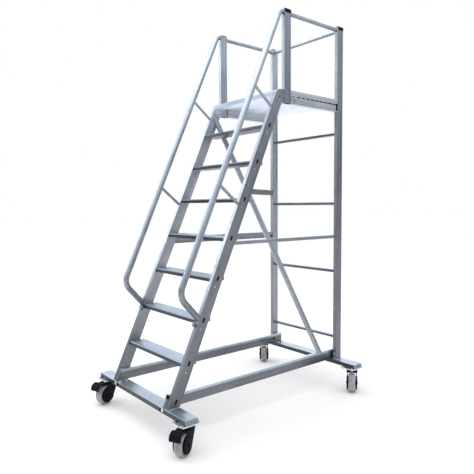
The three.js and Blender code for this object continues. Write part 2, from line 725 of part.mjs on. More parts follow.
function addCasters() {
  for (const caster of CASTERS) {
    const plate = add(`caster_plate_${caster.name}`, casterPlateGeometry(), ZINC);
    plate.position.set(caster.x, caster.y, 0);
    const swivel = new THREE.Group();
    swivel.position.set(caster.x, caster.y, 0);
    swivel.rotation.z = radians(caster.yaw - 90);
    pieces.add(swivel);
    add(`caster_fork_${caster.name}`, forkGeometry(caster.pedal), BLACK_STEEL, swivel);
    add(`caster_wheel_${caster.name}`, wheelGeometry(), TYRE, swivel);
    add(`caster_axle_${caster.name}`, axleGeometry(), ZINC, swivel);
    if (caster.pedal) {
      add(`brake_pedal_${caster.name}`, pedalGeometry(), BLACK_PLASTIC, swivel);
    }
  }
}

// ---------- whole ladder, standing on the centre of its footprint ----------

function footprintCentre() {
  const half = { x: PLATE.x / 2, y: PLATE.y / 2 };
  const xs = [];
  const ys = [];
  for (const caster of CASTERS) {
    const reach = caster.pedal ? PEDAL.reach : 0;
    const across = caster.pedal ? PEDAL.padHalf : 0;
    const sine = Math.sin(radians(caster.yaw));
    const cosine = Math.cos(radians(caster.yaw));
    xs.push(caster.x - half.x, caster.x + half.x, caster.x + reach * sine + across * cosine);
    ys.push(caster.y - half.y, caster.y + half.y, caster.y - reach * cosine - across * sine);
  }
  return [(Math.min(...xs) + Math.max(...xs)) / 2, (Math.min(...ys) + Math.max(...ys)) / 2];
}

addBase();
addClimbingSide();
addHandrails();
addPlatform();
addTopRails();
addBracing();
addCasters();

const [centreX, centreY] = footprintCentre();
pieces.position.set(-centreX, -centreY, 0);

const ladder = new THREE.Group();
ladder.add(pieces);

export default ladder;
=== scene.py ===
import json
import math

import bmesh
import bpy
from mathutils import Matrix, Vector


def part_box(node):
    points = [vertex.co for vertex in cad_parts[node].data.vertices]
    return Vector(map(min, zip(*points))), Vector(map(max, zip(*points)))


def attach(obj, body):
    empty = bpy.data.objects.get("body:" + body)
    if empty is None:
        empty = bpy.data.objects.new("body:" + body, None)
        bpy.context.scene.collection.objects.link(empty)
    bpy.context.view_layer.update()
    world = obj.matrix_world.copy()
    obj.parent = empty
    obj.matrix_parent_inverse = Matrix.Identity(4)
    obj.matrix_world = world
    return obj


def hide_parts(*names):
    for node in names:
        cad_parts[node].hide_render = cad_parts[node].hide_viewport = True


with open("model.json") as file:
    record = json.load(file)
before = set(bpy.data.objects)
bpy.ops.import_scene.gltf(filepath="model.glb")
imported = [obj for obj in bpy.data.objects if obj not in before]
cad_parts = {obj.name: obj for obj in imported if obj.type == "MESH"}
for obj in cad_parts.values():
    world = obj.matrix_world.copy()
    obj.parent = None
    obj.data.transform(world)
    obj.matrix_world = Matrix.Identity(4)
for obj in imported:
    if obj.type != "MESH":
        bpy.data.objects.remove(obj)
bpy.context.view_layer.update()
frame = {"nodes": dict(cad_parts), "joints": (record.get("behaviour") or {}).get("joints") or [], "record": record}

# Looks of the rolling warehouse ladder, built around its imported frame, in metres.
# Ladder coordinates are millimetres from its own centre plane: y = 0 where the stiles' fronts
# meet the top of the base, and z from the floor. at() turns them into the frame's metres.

joints = {joint["name"]: joint for joint in frame["joints"]}
body_of = {
    node: body
    for body, nodes in frame["record"]["behaviour"]["bodies"].items()
    for node in nodes
}

SIDES = {"left": -1, "right": 1}
CASTERS = ("front_right", "front_left", "rear_right", "rear_left")
BRAKED = ("front_right", "front_left")
BEAMS = ("front_beam", "rear_beam")
TREADS = [f"tread_{step}" for step in range(1, 8)]
RUNGS = [f"rear_rung_{number}" for number in range(1, 5)]

# Ladder dimensions, millimetres
BEAM_TOP = 207
BEAM_HEIGHT = 30
BEAM_WALL = 3
BEAM_CHAMBERS = 4
LEAN = 0.45
STILE_INNER_X = 330
STILE_OUTER_X = 358
STILE_DEPTH = 82
RAIL_WIDTH = 30
# Where the side rails' painted highlight band starts, above the base's top
RAIL_HIGHLIGHT_START = 57
PLATFORM_TOP = 2214
HINGE_X = 54
PEDAL_TOP = ((100, 166), (119, 164), (132, 157), (141, 146))
SLOT_DROP = 6
SLOT_LENGTH = 34
SLOT_WIDTH = 15
FOOT_SLOT_RISE = 37

MM = 0.001
CRISP = math.radians(38)
ALONG_X = Vector((1, 0, 0))
ALONG_Y = Vector((0, 1, 0))
ALONG_Z = Vector((0, 0, 1))
UPRIGHT_AXES = (ALONG_X, ALONG_Y, ALONG_Z)
ALONG_LEAN = Vector((0, LEAN, 1)).normalized()
OFF_STILE = ALONG_X.cross(ALONG_LEAN).normalized()
LEANING_AXES = (ALONG_X, ALONG_LEAN, OFF_STILE)

centre_x = (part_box("stile_left")[0].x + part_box("stile_right")[1].x) / 2
base_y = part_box("stile_right")[0].y


def at(x, y, z):
    """A point given in ladder coordinates."""
    return Vector((centre_x + x * MM, base_y + y * MM, z * MM))


def lean_y(z):
    """How far back the stiles' fronts are at a height, both in millimetres."""
    return LEAN * (z - BEAM_TOP)


def stile_front(x, z):
    """The point of the stiles' leaning front plane at a height, all in metres."""
    return Vector((x, base_y + lean_y(z / MM) * MM, z))


def on_stile(sign, z):
    """The middle of a stile's outer face at a height in millimetres."""
    return at(sign * STILE_OUTER_X, lean_y(z) + STILE_DEPTH / 2, z)


def colour(red, green, blue):
    return (red, green, blue, 1.0)


# ---------- materials ----------

METAL_LIGHT = colour(0.37, 0.39, 0.42)
METAL_DARK = colour(0.24, 0.255, 0.28)
SCRATCH = colour(0.60, 0.62, 0.65)
DIRT = colour(0.17, 0.17, 0.175)
EDGE_LIGHT = colour(0.39, 0.395, 0.40)
DECK_LIGHT = colour(0.46, 0.50, 0.56)
DECK_DARK = colour(0.35, 0.385, 0.44)
DECK_SCRATCHES = 0.25
# The side rails' painted highlight band: how fast it fades in, in metres, and how much brighter it is.
HIGHLIGHT_BAND_FADE = 1.5 * MM
HIGHLIGHT_BAND_GAIN = 2.4
# Normal heights between which the painted shade on downward faces fades in.
FACES_DOWN = -0.9
FACES_LEVEL = -0.1


class Graph:
    """A material and its node tree, with short ways to add and join nodes."""

    def __init__(self, name, grain=ALONG_Z):
        self.material = bpy.data.materials.new(name)
        self.material.use_nodes = True
        self.tree = self.material.node_tree
        self.shader = self.tree.nodes["Principled BSDF"]
        self.turn = grain.rotation_difference(ALONG_Z).to_euler()
        self.place = self.tree.nodes.new("ShaderNodeTexCoord").outputs["Object"]

    def join(self, value, socket):
        """Links a socket's value to another socket, or sets a plain value there."""
        if isinstance(value, bpy.types.NodeSocket):
            self.tree.links.new(value, socket)
        else:
            socket.default_value = value

    def stretched(self, scale):
        """Object coordinates turned so that z follows the grain, then scaled."""
        turned = self.tree.nodes.new("ShaderNodeMapping")
        turned.inputs["Rotation"].default_value = self.turn
        self.join(self.place, turned.inputs["Vector"])
        scaled = self.tree.nodes.new("ShaderNodeMapping")
        scaled.inputs["Scale"].default_value = scale
        self.join(turned.outputs["Vector"], scaled.inputs["Vector"])
        return scaled.outputs["Vector"]

    def noise(self, scale, detail=3.0, roughness=0.55):
        noise = self.tree.nodes.new("ShaderNodeTexNoise")
        self.join(self.stretched(scale), noise.inputs["Vector"])
        noise.inputs["Scale"].default_value = 1.0
        noise.inputs["Detail"].default_value = detail
        noise.inputs["Roughness"].default_value = roughness
        return noise.outputs["Fac"]

    def remap(self, value, low, high, to_low, to_high):
        node = self.tree.nodes.new("ShaderNodeMapRange")
        self.join(value, node.inputs["Value"])
        node.inputs["From Min"].default_value = low
        node.inputs["From Max"].default_value = high
        node.inputs["To Min"].default_value = to_low
        node.inputs["To Max"].default_value = to_high
        return node.outputs["Result"]

    def blend(self, share, first, second):
        node = self.tree.nodes.new("ShaderNodeMix")
        node.data_type = "RGBA"
        self.join(share, node.inputs["Factor"])
        self.join(first, node.inputs["A"])
        self.join(second, node.inputs["B"])
        return node.outputs["Result"]

    def math(self, operation, first, second):
        node = self.tree.nodes.new("ShaderNodeMath")
        node.operation = operation
        self.join(first, node.inputs[0])
        self.join(second, node.inputs[1])
        return node.outputs[0]

    def facing(self, side, front, up, under=1.0):
        """Painted light and shade by surface direction: one number for how bright sideways, front and level faces
        are.

        under is how bright a face that looks down is, as a share of one that looks up."""
        normal = self.tree.nodes.new("ShaderNodeNewGeometry").outputs["Normal"]
        squares = self.tree.nodes.new("ShaderNodeVectorMath")
        squares.operation = "MULTIPLY"
        self.join(normal, squares.inputs[0])
        self.join(normal, squares.inputs[1])
        weigh = self.tree.nodes.new("ShaderNodeVectorMath")
        weigh.operation = "DOT_PRODUCT"
        self.join(squares.outputs["Vector"], weigh.inputs[0])
        weigh.inputs[1].default_value = (side, front, up)
        shade = self.remap(self.height_of(normal), FACES_DOWN, FACES_LEVEL, under, 1.0)
        return self.math("MULTIPLY", weigh.outputs["Value"], shade)

    def height_of(self, vector):
        split = self.tree.nodes.new("ShaderNodeSeparateXYZ")
        self.join(vector, split.inputs[0])
        return split.outputs["Z"]

    def rising(self, low, high, start, end):
        """A number that goes from start at one height to end at another, heights in metres."""
        return self.remap(self.height_of(self.place), low, high, start, end)

    def scaled(self, shade, amount):
        node = self.tree.nodes.new("ShaderNodeVectorMath")
        node.operation = "SCALE"
        self.join(shade, node.inputs[0])
        self.join(amount, node.inputs["Scale"])
        return node.outputs["Vector"]

    def bump(self, height, strength, distance):
        node = self.tree.nodes.new("ShaderNodeBump")
        self.join(height, node.inputs["Height"])
        node.inputs["Strength"].default_value = strength
        node.inputs["Distance"].default_value = distance
        self.join(node.outputs["Normal"], self.shader.inputs["Normal"])

    def finish(self, base, roughness, metallic=0.0, **shader):
        self.join(base, self.shader.inputs["Base Color"])
        self.join(roughness, self.shader.inputs["Roughness"])
        self.shader.inputs["Metallic"].default_value = metallic
        for name, value in shader.items():
            self.shader.inputs[name].default_value = value
        return self.material


def aluminium(
    name, grain, faces, light=METAL_LIGHT, dark=METAL_DARK, more_scratches=0.0, painted_highlight_above=None, painted_light_climb=None
):
    """Mill-finish extrusion: die lines along the grain, a cloudy oxide film and handling scratches.

    faces gives painted light and shade by the direction a face points: how bright its sideways,
    front, level and downward faces are. Above a given height a painted highlight band makes the metal
    brighter. The painted light gradient says how bright it is at the base and at the platform."""
    graph = Graph(name, grain)
    die_lines = graph.noise((900, 900, 5), detail=2.0)
    bands = graph.noise((90, 90, 1.2), detail=2.0)
    film = graph.noise((7, 7, 3), detail=5.0, roughness=0.62)
    smudges = graph.noise((38, 38, 22), detail=4.0, roughness=0.7)
    scratches = graph.noise((150, 420, 40), detail=1.0)
    cloud = graph.remap(film, 0.32, 0.68, 0.0, 0.7)
    tone = graph.math("ADD", cloud, graph.remap(bands, 0.35, 0.65, -0.18, 0.3))
    base = graph.blend(tone, dark, light)
    marks = graph.remap(scratches, 0.69, 0.73, 0.0, 0.55 + more_scratches)
    base = graph.blend(marks, base, SCRATCH)
    base = graph.blend(graph.remap(smudges, 0.60, 0.80, 0.0, 0.30), base, DIRT)
    # Painted light and shade: each face made brighter or darker by the direction it points.
    base = graph.scaled(base, graph.facing(*faces))
    # Painted highlight band above the given height.
    if painted_highlight_above:
        base = graph.scaled(base, graph.rising(painted_highlight_above, painted_highlight_above + HIGHLIGHT_BAND_FADE, 1.0, HIGHLIGHT_BAND_GAIN))
    # Painted light: the metal is darker near the base and brighter towards the platform.
    if painted_light_climb:
        base = graph.scaled(base, graph.rising(BEAM_TOP * MM, PLATFORM_TOP * MM, *painted_light_climb))
    dulled = graph.remap(smudges, 0.45, 0.8, 0.0, 0.16)
    rough = graph.math("ADD", graph.remap(bands, 0.3, 0.7, 0.24, 0.40), dulled)
    height = graph.math("ADD", die_lines, graph.math("MULTIPLY", smudges, 0.4))
    graph.bump(height, strength=0.20, distance=0.3 * MM)
    return graph.finish(base, rough, metallic=0.96)


def zinc():
    """Bright zinc plate with a faint spangle."""
    graph = Graph("zinc_plate")
    spangle = graph.noise((120, 120, 120), detail=3.0)
    film = graph.noise((22, 22, 22), detail=4.0)
    cloud = graph.remap(film, 0.35, 0.65, 0.0, 1.0)
    base = graph.blend(cloud, colour(0.55, 0.59, 0.63), colour(0.72, 0.76, 0.80))
    graph.bump(spangle, strength=0.15, distance=0.3 * MM)
    return graph.finish(base, graph.remap(spangle, 0.3, 0.7, 0.25, 0.45), metallic=0.95)


def weld_metal():
    """Bead surface: bright metal with a patchy grey heat film."""
    graph = Graph("weld_metal")
    ripples = graph.noise((260, 260, 260), detail=2.0)
    film = graph.noise((60, 60, 60), detail=3.0)
    heat = graph.remap(film, 0.4, 0.65, 0.0, 1.0)
    base = graph.blend(heat, colour(0.50, 0.52, 0.54), colour(0.26, 0.27, 0.29))
    graph.bump(ripples, strength=0.35, distance=0.5 * MM)
    return graph.finish(base, graph.remap(ripples, 0.3, 0.7, 0.30, 0.50), metallic=0.9)


def black_steel():
    """Black powder coat: orange-peel texture, dust on it and a few chips to grey metal."""
    graph = Graph("black_powder_coat")
    peel = graph.noise((650, 650, 650), detail=2.0)
    dust = graph.noise((28, 28, 28), detail=5.0, roughness=0.65)
    chips = graph.noise((95, 95, 95), detail=2.0)
    dusty = graph.remap(dust, 0.45, 0.75, 0.0, 0.6)
    base = graph.blend(dusty, colour(0.004, 0.004, 0.006), colour(0.022, 0.022, 0.024))
    base = graph.blend(graph.remap(chips, 0.745, 0.76, 0.0, 0.6), base, colour(0.25, 0.25, 0.26))
    graph.bump(peel, strength=0.25, distance=0.3 * MM)
    rough = graph.remap(dust, 0.4, 0.75, 0.55, 0.75)
    return graph.finish(base, rough, **{"Specular IOR Level": 0.08})


def black_plastic(name="black_plastic", base=(0.004, 0.004, 0.006)):
    """Moulded plastic with a fine eroded grain and lighter scuffs."""
    graph = Graph(name)
    grain = graph.noise((1100, 1100, 1100), detail=2.0)
    scuffs = graph.noise((45, 140, 45), detail=4.0, roughness=0.7)
    scuffed = colour(*[0.015 + channel for channel in base])
    shade = graph.blend(graph.remap(scuffs, 0.55, 0.75, 0.0, 0.7), colour(*base), scuffed)
    graph.bump(grain, strength=0.30, distance=0.2 * MM)
    rough = graph.remap(scuffs, 0.4, 0.75, 0.50, 0.72)
    return graph.finish(shade, rough, **{"Specular IOR Level": 0.10})


def tyre_rubber():
    """Grey rolling rubber: dusty lighter patches and dark nicks."""
    graph = Graph("grey_tyre_rubber")
    grain = graph.noise((700, 700, 700), detail=3.0)
    dust = graph.noise((26, 26, 26), detail=5.0, roughness=0.7)
    nicks = graph.noise((170, 170, 170), detail=2.0)
    dusty = graph.remap(dust, 0.38, 0.66, 0.0, 1.0)
    base = graph.blend(dusty, colour(0.24, 0.245, 0.24), colour(0.40, 0.40, 0.39))
    base = graph.blend(graph.remap(nicks, 0.70, 0.74, 0.0, 0.5), base, colour(0.05, 0.05, 0.05))
    graph.bump(graph.math("ADD", grain, nicks), strength=0.35, distance=0.4 * MM)
    return graph.finish(base, graph.remap(dust, 0.35, 0.7, 0.50, 0.78))


def leaning_metal(name, side, painted_light_climb):
    # Painted light and shade by face direction; side is how bright the sideways faces are painted.
    return aluminium(name, ALONG_LEAN, (side, 1.35, 1.5), painted_light_climb=painted_light_climb)


def deck_metal(name, faces):
    return aluminium(name, ALONG_X, faces, DECK_LIGHT, DECK_DARK, DECK_SCRATCHES)


# The side rails are painted brighter above this height: a painted highlight band.
RAIL_HIGHLIGHT_Z = (BEAM_TOP + RAIL_HIGHLIGHT_START) * MM
# Painted light and shade: the face numbers brighten or darken faces by the direction they point, the height
# gradients darken the metal low down and brighten it near the platform, and the platform edges are painted
# brighter all over. The left-side copies of the upright and leaning metal are painted lighter copies with brighter
# sides.
EXTRUDED = {
    "across": aluminium("aluminium_grain_across", ALONG_X, (0.9, 0.22, 1.85)),
    "back": aluminium("aluminium_grain_back", ALONG_Y, (0.95, 1.0, 1.6)),
    "rail": aluminium("aluminium_side_rail", ALONG_Y, (0.60, 1.0, 1.2), painted_highlight_above=RAIL_HIGHLIGHT_Z),
    "edge": aluminium("aluminium_platform_edge", ALONG_Y, (1.6, 1.6, 1.8), EDGE_LIGHT),
    "upright": aluminium("aluminium_grain_upright", ALONG_Z, (0.80, 1.0, 1.5), painted_light_climb=(0.75, 1.0)),
    "upright_left_painted_lit": aluminium(
        "aluminium_grain_upright_left", ALONG_Z, (1.35, 1.1, 1.5), painted_light_climb=(0.75, 1.05)
    ),
    "leaning": leaning_metal("aluminium_grain_leaning", 0.9, painted_light_climb=(0.55, 1.15)),
    "leaning_left_painted_lit": leaning_metal("aluminium_grain_leaning_left", 1.4, painted_light_climb=(0.5, 1.25)),
    "tube": aluminium("aluminium_round_tube", ALONG_LEAN, (1.3, 1.7, 1.9, 0.35), painted_light_climb=(0.45, 1.1)),
}
# Painted light and shade: the treads' fronts and undersides are painted dark and their tops bright; the platform's
# faces are painted brighter.
DECKING = deck_metal("aluminium_ribbed_decking", (0.8, 0.16, 1.25, 0.08))
PLATFORM = deck_metal("aluminium_platform", (1.4, 1.0, 1.4, 1.3))
ZINC = zinc()
GREY_PLASTIC = black_plastic("grey_plastic", (0.26, 0.27, 0.29))
WELD = weld_metal()
BLACK_STEEL = black_steel()
BLACK_PLASTIC = black_plastic()
HUB_PLASTIC = black_plastic("hub_plastic", (0.020, 0.021, 0.024))
TYRE = tyre_rubber()

# ---------- mesh helpers ----------

HAIR = 0.1 * MM
SOFT_EDGE = 0.5 * MM
WELDED = 0.002 * MM
FLAT = math.radians(0.6)
CORNER = math.radians(50)
BEAD_STEP = 2.6 * MM
BEAD_RIPPLE = 7.2 * MM
BEAD_SWELL = 0.16
BEAD_END = 0.55
BEAD_SIDES = 6
PIPE_SIDES = 20
WASHER_SIDES = 24
WASHER_SHARE = 0.85
CROWN_SHARE = 0.86
CROWN_HEIGHT = 1 * MM
RIVET_SIDES = 16
RIVET_RISE = 0.45
STEEP = 0.9


def piece(name, bm, material, body, crisp=CRISP):
    """A finished object from a bmesh, smooth except across its crisp edges, riding on a body."""
    mesh = bpy.data.meshes.new(name)
    bm.to_mesh(mesh)
    bm.free()
    if "custom_normal" in mesh.attributes:
        mesh.attributes.remove(mesh.attributes["custom_normal"])
    for polygon in mesh.polygons:
        polygon.use_smooth = True
    mesh.set_sharp_from_angle(angle=crisp)
    mesh.materials.clear()
    mesh.materials.append(material)
    obj = bpy.data.objects.new(name, mesh)
    bpy.context.scene.collection.objects.link(obj)
    even = obj.modifiers.new("even_shading", "WEIGHTED_NORMAL")
    even.keep_sharp = True
    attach(obj, body)
    return obj


def fitting(name, bm, material, body, crisp=CRISP):
    """A piece whose faces were made here, so they are first turned outward."""
    bmesh.ops.recalc_face_normals(bm, faces=bm.faces)
    return piece(name, bm, material, body, crisp)


def soften(bm, edges, width, segments, profile):
    bmesh.ops.bevel(
        bm, geom=edges, offset=width, offset_type="OFFSET", segments=segments, profile=profile,
        affect="EDGES", clamp_overlap=True,
    )


def refined(node, material, bevel=SOFT_EDGE):
    """The node's own solid with welded corners, clean flat faces and softly broken edges."""
    bm = bmesh.new()
    bm.from_mesh(frame["nodes"][node].data)
    bmesh.ops.remove_doubles(bm, verts=bm.verts, dist=WELDED)
    bmesh.ops.dissolve_limit(bm, angle_limit=FLAT, verts=bm.verts, edges=bm.edges)
    sharp = [edge for edge in bm.edges if edge.is_manifold and edge.calc_face_angle() > CORNER]
    soften(bm, sharp, bevel, segments=2, profile=0.6)
    obj = piece(f"{node}_finished", bm, material, body_of[node])
    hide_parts(node)


def frame_across(direction):
    """Two unit vectors square to a direction and to each other."""
    helper = ALONG_Z if abs(direction.z) < STEEP else ALONG_X
    across = direction.cross(helper).normalized()
    return across, direction.cross(across).normalized()


def spokes(axis, count):
    """Unit vectors square to an axis, evenly spread round it."""
    across, up = frame_across(axis)
    angles = [2 * math.pi * k / count for k in range(count)]
    return [across * math.cos(angle) + up * math.sin(angle) for angle in angles]


def next_to(items):
    """Each item with the one after it, the last one with the first."""
    return zip(items, items[1:] + items[:1])


def bridge(bm, first, second):
    """Four-sided faces between two rings of vertices."""
    for (a, b), (d, c) in zip(next_to(first), next_to(second)):
        bm.faces.new((a, b, c, d))


def skin(bm, rings):
    for first, second in zip(rings, rings[1:]):
        bridge(bm, first, second)


def closed_skin(bm, rings):
    """A skin over rings of vertices, with a face over each of its two ends."""
    skin(bm, rings)
    bm.faces.new(list(reversed(rings[0])))
    bm.faces.new(rings[-1])


def lathe(bm, centre, axis, profile, sides):
    """Revolves (radius, offset along the axis) points into a closed ring of faces."""
    rings = [
        [bm.verts.new(centre + outward * radius + axis * offset) for radius, offset in profile]
        for outward in spokes(axis, sides)
    ]
    skin(bm, rings + rings[:1])


def solid_of_turn(bm, centre, axis, profile, sides):
    """Revolves a profile whose two ends lie on the axis, closing each end with a fan."""
    outwards = spokes(axis, sides)
    rings = [
        [bm.verts.new(centre + outward * radius + axis * offset) for outward in outwards]
        for radius, offset in profile[1:-1]
    ]
    skin(bm, rings)
    for circle, (_, tip_offset) in ((rings[0], profile[0]), (rings[-1], profile[-1])):
        tip = bm.verts.new(centre + axis * tip_offset)
        for first, second in next_to(circle):
            bm.faces.new((first, second, tip))


def block(bm, centre, axes, sizes, bevel):
    """A box with broken edges: axes are unit vectors, sizes are full lengths."""
    along, across, up = (axis * size / 2 for axis, size in zip(axes, sizes))
    corners = [
        bm.verts.new(centre + along * a + across * b + up * c)
        for a in (-1, 1)
        for b in (-1, 1)
        for c in (-1, 1)
    ]
    faces = [(0, 1, 3, 2), (4, 6, 7, 5), (0, 4, 5, 1), (2, 3, 7, 6), (0, 2, 6, 4), (1, 5, 7, 3)]
    made = [bm.faces.new([corners[i] for i in face]) for face in faces]
    edges = list(dict.fromkeys(edge for face in made for edge in face.edges))
    soften(bm, edges, bevel, segments=3, profile=0.5)


def stepped(corners, closed, step):
    """Points along a line of corners, about a step apart."""
    points = [*corners, corners[0]] if closed else corners
    line = []
    for start, end in zip(points, points[1:]):
        parts = max(1, round((end - start).length / step))
        line.extend(start.lerp(end, part / parts) for part in range(parts))
    return line if closed else [*line, points[-1]]


def bead(bm, corners, closed, radius):
    """A weld bead along a line: a round rope with even ripples, thinner at open ends."""
    line = stepped(corners, closed, BEAD_STEP)
    last = len(line) - 1
    rings = []
    for i, point in enumerate(line):
        before = line[i - 1] if closed or i > 0 else point
        after = line[(i + 1) % len(line)] if closed or i < last else point
        taper = 1.0 if closed or 0 < i < last else BEAD_END
        swell = 1 + BEAD_SWELL * math.cos(2 * math.pi * i * BEAD_STEP / BEAD_RIPPLE)
        outwards = spokes((after - before).normalized(), BEAD_SIDES)
        rings.append([bm.verts.new(point + outward * radius * swell * taper) for outward in outwards])
    if closed:
        skin(bm, rings + rings[:1])
    else:
        closed_skin(bm, rings)


def bead_round(bm, centre, axis, pipe_radius, radius):
    """A closed bead round a pipe."""
    circle = [centre + outward * pipe_radius for outward in spokes(axis, PIPE_SIDES)]
    bead(bm, circle, closed=True, radius=radius)


def round_trip(first, second):
    """The corners of a rectangle from the ranges of its two coordinates, in order round it."""
    return [(first[0], second[0]), (first[1], second[0]), (first[1], second[1]), (first[0], second[1])]


def hex_bolt(bm, seat, outward, across_flats, height):
    """A washer and a chamfered hexagon head standing on a surface."""
    sunk = -0.2 * MM
    washer_top = 1.4 * MM
    washer_chamfer = 0.4 * MM
    washer = across_flats * WASHER_SHARE
    disc = [
        (0, sunk),
        (washer, sunk),
        (washer, washer_top - washer_chamfer),
        (washer - washer_chamfer, washer_top),
        (0, washer_top),
    ]
    solid_of_turn(bm, seat, outward, disc, WASHER_SIDES)
    corner = across_flats / math.sqrt(3)
    crown = (corner * CROWN_SHARE, height + CROWN_HEIGHT)
    levels = [(corner, washer_top), (corner, height), crown]
    closed_skin(bm, [
        [bm.verts.new(seat + spoke * radius + outward * offset) for spoke in spokes(outward, 6)]
        for radius, offset in levels
    ])


def rivet(bm, seat, outward, radius):
    """A domed rivet head."""
    sunk = -0.3 * MM
    rise = radius * RIVET_RISE
    arc = [math.radians(18 * part) for part in range(5)]
    dome = [(radius * math.cos(angle), rise * math.sin(angle)) for angle in arc]
    profile = [(0, sunk), (radius, sunk), *dome, (0, rise)]
    solid_of_turn(bm, seat, outward, profile, RIVET_SIDES)


def oval_plug(bm, centre, along, outward, length, width):
    """An oval plug: a rim standing slightly proud of its surface and a dished face inside it."""
    across = along.cross(outward)
    straight = (length - width) / 2
    proud = 0.7 * MM
    sunk = -1.6 * MM
    dished = -0.8 * MM
    arc_parts = 8

    def outline(shrink, offset):
        radius = width / 2 - shrink
        verts = []
        for end, first in ((1, 0), (-1, 180)):
            for part in range(arc_parts + 1):
                angle = math.radians(first + 180 * part / arc_parts)
                u = math.cos(angle) * radius
                v = math.sin(angle) * radius + end * straight
                verts.append(bm.verts.new(centre + across * u + along * v + outward * offset))
        return verts

    closed_skin(bm, [
        outline(0, sunk),
        outline(0, proud * 0.4),
        outline(0.6 * MM, proud),
        outline(2.2 * MM, proud),
        outline(2.8 * MM, dished),
    ])


# ---------- the extruded pieces ----------

DECK_EDGE = 0.4 * MM
CAP_EDGE = 1.2 * MM


def finish_extrusions():
    runs = {
        "across": [*BEAMS, *RUNGS],
        "back": ["mid_tie_left", "mid_tie_right", "brace_stay"],
        "rail": ["side_rail_left", "side_rail_right"],
        "edge": ["platform_beam_left", "platform_beam_right"],
        "upright": ["guard_post_right", "rear_post_right"],
        "upright_left_painted_lit": ["guard_post_left", "rear_post_left"],
        "leaning": ["stile_right"],
        "leaning_left_painted_lit": ["stile_left"],
        "tube": ["handrail_left", "handrail_right", "top_rail_left", "top_rail_right", "top_rail_rear"],
    }
    runs["tube"] += [f"handrail_strut_{place}_{side}" for side in SIDES for place in ("upper", "lower")]
    for grain, nodes in runs.items():
        for node in nodes:
            refined(node, EXTRUDED[grain])


def finish_brace():
    low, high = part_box("diagonal_brace")
    fall = Vector((high.x - low.x, high.y - low.y, low.z - high.z)).normalized()
    refined("diagonal_brace", aluminium("aluminium_grain_brace", fall, (1.0, 1.4, 1.8)))


def finish_decks():
    for node in TREADS:
        refined(node, DECKING, DECK_EDGE)
    for node in ("platform_nosing", "platform_deck"):
        refined(node, PLATFORM, DECK_EDGE)


def finish_caps():
    for post in [f"{name}_{side}" for side in SIDES for name in ("guard_post", "rear_post")]:
        refined(f"{post}_cap", BLACK_PLASTIC, CAP_EDGE)


def cap_skirts():
    """The lips by which the right posts' caps reach down over the outer faces."""
    bm = bmesh.new()
    thickness = 1.6 * MM
    height = 20 * MM
    for post in ("guard_post_right", "rear_post_right"):
        low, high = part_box(post)
        x = high.x + thickness / 2 + HAIR
        middle = Vector((x, (low.y + high.y) / 2, high.z - height / 2))
        size = (thickness, high.y - low.y - 1 * MM, height)
        block(bm, middle, UPRIGHT_AXES, size, bevel=0.7 * MM)
    fitting("post_cap_skirts", bm, BLACK_PLASTIC, "frame")


# ---------- welds ----------

BASE_BEAD = 2.6 * MM
BEAM_BEAD = 2.2 * MM
TIE_BEAD = 1.8 * MM
POST_BEAD = 2.4 * MM
TREAD_BEAD = 2.4 * MM
PIPE_BEAD = 2.0 * MM
BEAD_STAND = 0.6 * MM


def weld_treads():
    """Beads along both ends of every tread's underside, stopping short of its rear edge."""
    bm = bmesh.new()
    inset = 0.4 * MM
    front_gap = 6 * MM
    rear_gap = 34 * MM
    for node in TREADS:
        low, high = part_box(node)
        for x in (low.x + inset, high.x - inset):
            front = Vector((x, low.y + front_gap, low.z))
            back = Vector((x, high.y - rear_gap, low.z))
            bead(bm, [front, back], closed=False, radius=TREAD_BEAD)
    fitting("weld_beads_treads", bm, WELD, "frame")


def tread_end_covers():
    """Thin plates that close the part of each tread's ends standing behind the stiles."""
    bm = bmesh.new()
    thickness = 1.2 * MM
    width = 15 * MM
    margin = 1 * MM
    for node in TREADS:
        low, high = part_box(node)
        size = (thickness, width, high.z - low.z - margin)
        for x in (low.x - thickness / 2, high.x + thickness / 2):
            middle = Vector((x, high.y - margin - width / 2, (low.z + high.z) / 2))
            block(bm, middle, UPRIGHT_AXES, size, bevel=0.3 * MM)
    fitting("tread_end_covers", bm, EXTRUDED["tube"], "frame")


def weld_round_ends():
    """Beads round both ends of the rungs and of the top rails."""
    bm = bmesh.new()
    runs = [(node, ALONG_X) for node in [*RUNGS, "top_rail_rear"]]
    runs += [(f"top_rail_{side}", ALONG_Y) for side in SIDES]
    end_inset = 0.8 * MM
    for node, axis in runs:
        low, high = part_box(node)
        pipe_radius = (high.z - low.z) / 2 + BEAD_STAND
        half_length = (high - low).dot(axis) / 2 - end_inset
        for end in (-1, 1):
            centre = (low + high) / 2 + axis * end * half_length
            bead_round(bm, centre, axis, pipe_radius, PIPE_BEAD)
    fitting("weld_beads_round_tubes", bm, WELD, "frame")


def weld_base():
    """Beads where the side rails cross the beams and round the feet of the stiles and rear posts."""
    bm = bmesh.new()
    foot_z = BEAM_TOP * MM + BEAD_STAND
    end_gap = 3 * MM
    for side in SIDES:
        rail_low, rail_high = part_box(f"side_rail_{side}")
        for beam in BEAMS:
            low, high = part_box(beam)
            start = max(low.y, rail_low.y) + end_gap
            end = min(high.y, rail_high.y) - end_gap
            for x in (rail_low.x, rail_high.x):
                line = [Vector((x, start, high.z)), Vector((x, end, high.z))]
                bead(bm, line, closed=False, radius=BASE_BEAD)
        low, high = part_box(f"stile_{side}")
        stile_foot = round_trip((low.x, high.x), (low.y, low.y + STILE_DEPTH * MM))
        low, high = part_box(f"rear_post_{side}")
        post_foot = round_trip((low.x, high.x), (low.y, high.y))
        for foot in (stile_foot, post_foot):
            bead(bm, [Vector((x, y, foot_z)) for x, y in foot], closed=True, radius=BASE_BEAD)
    fitting("weld_beads_base", bm, WELD, "frame")


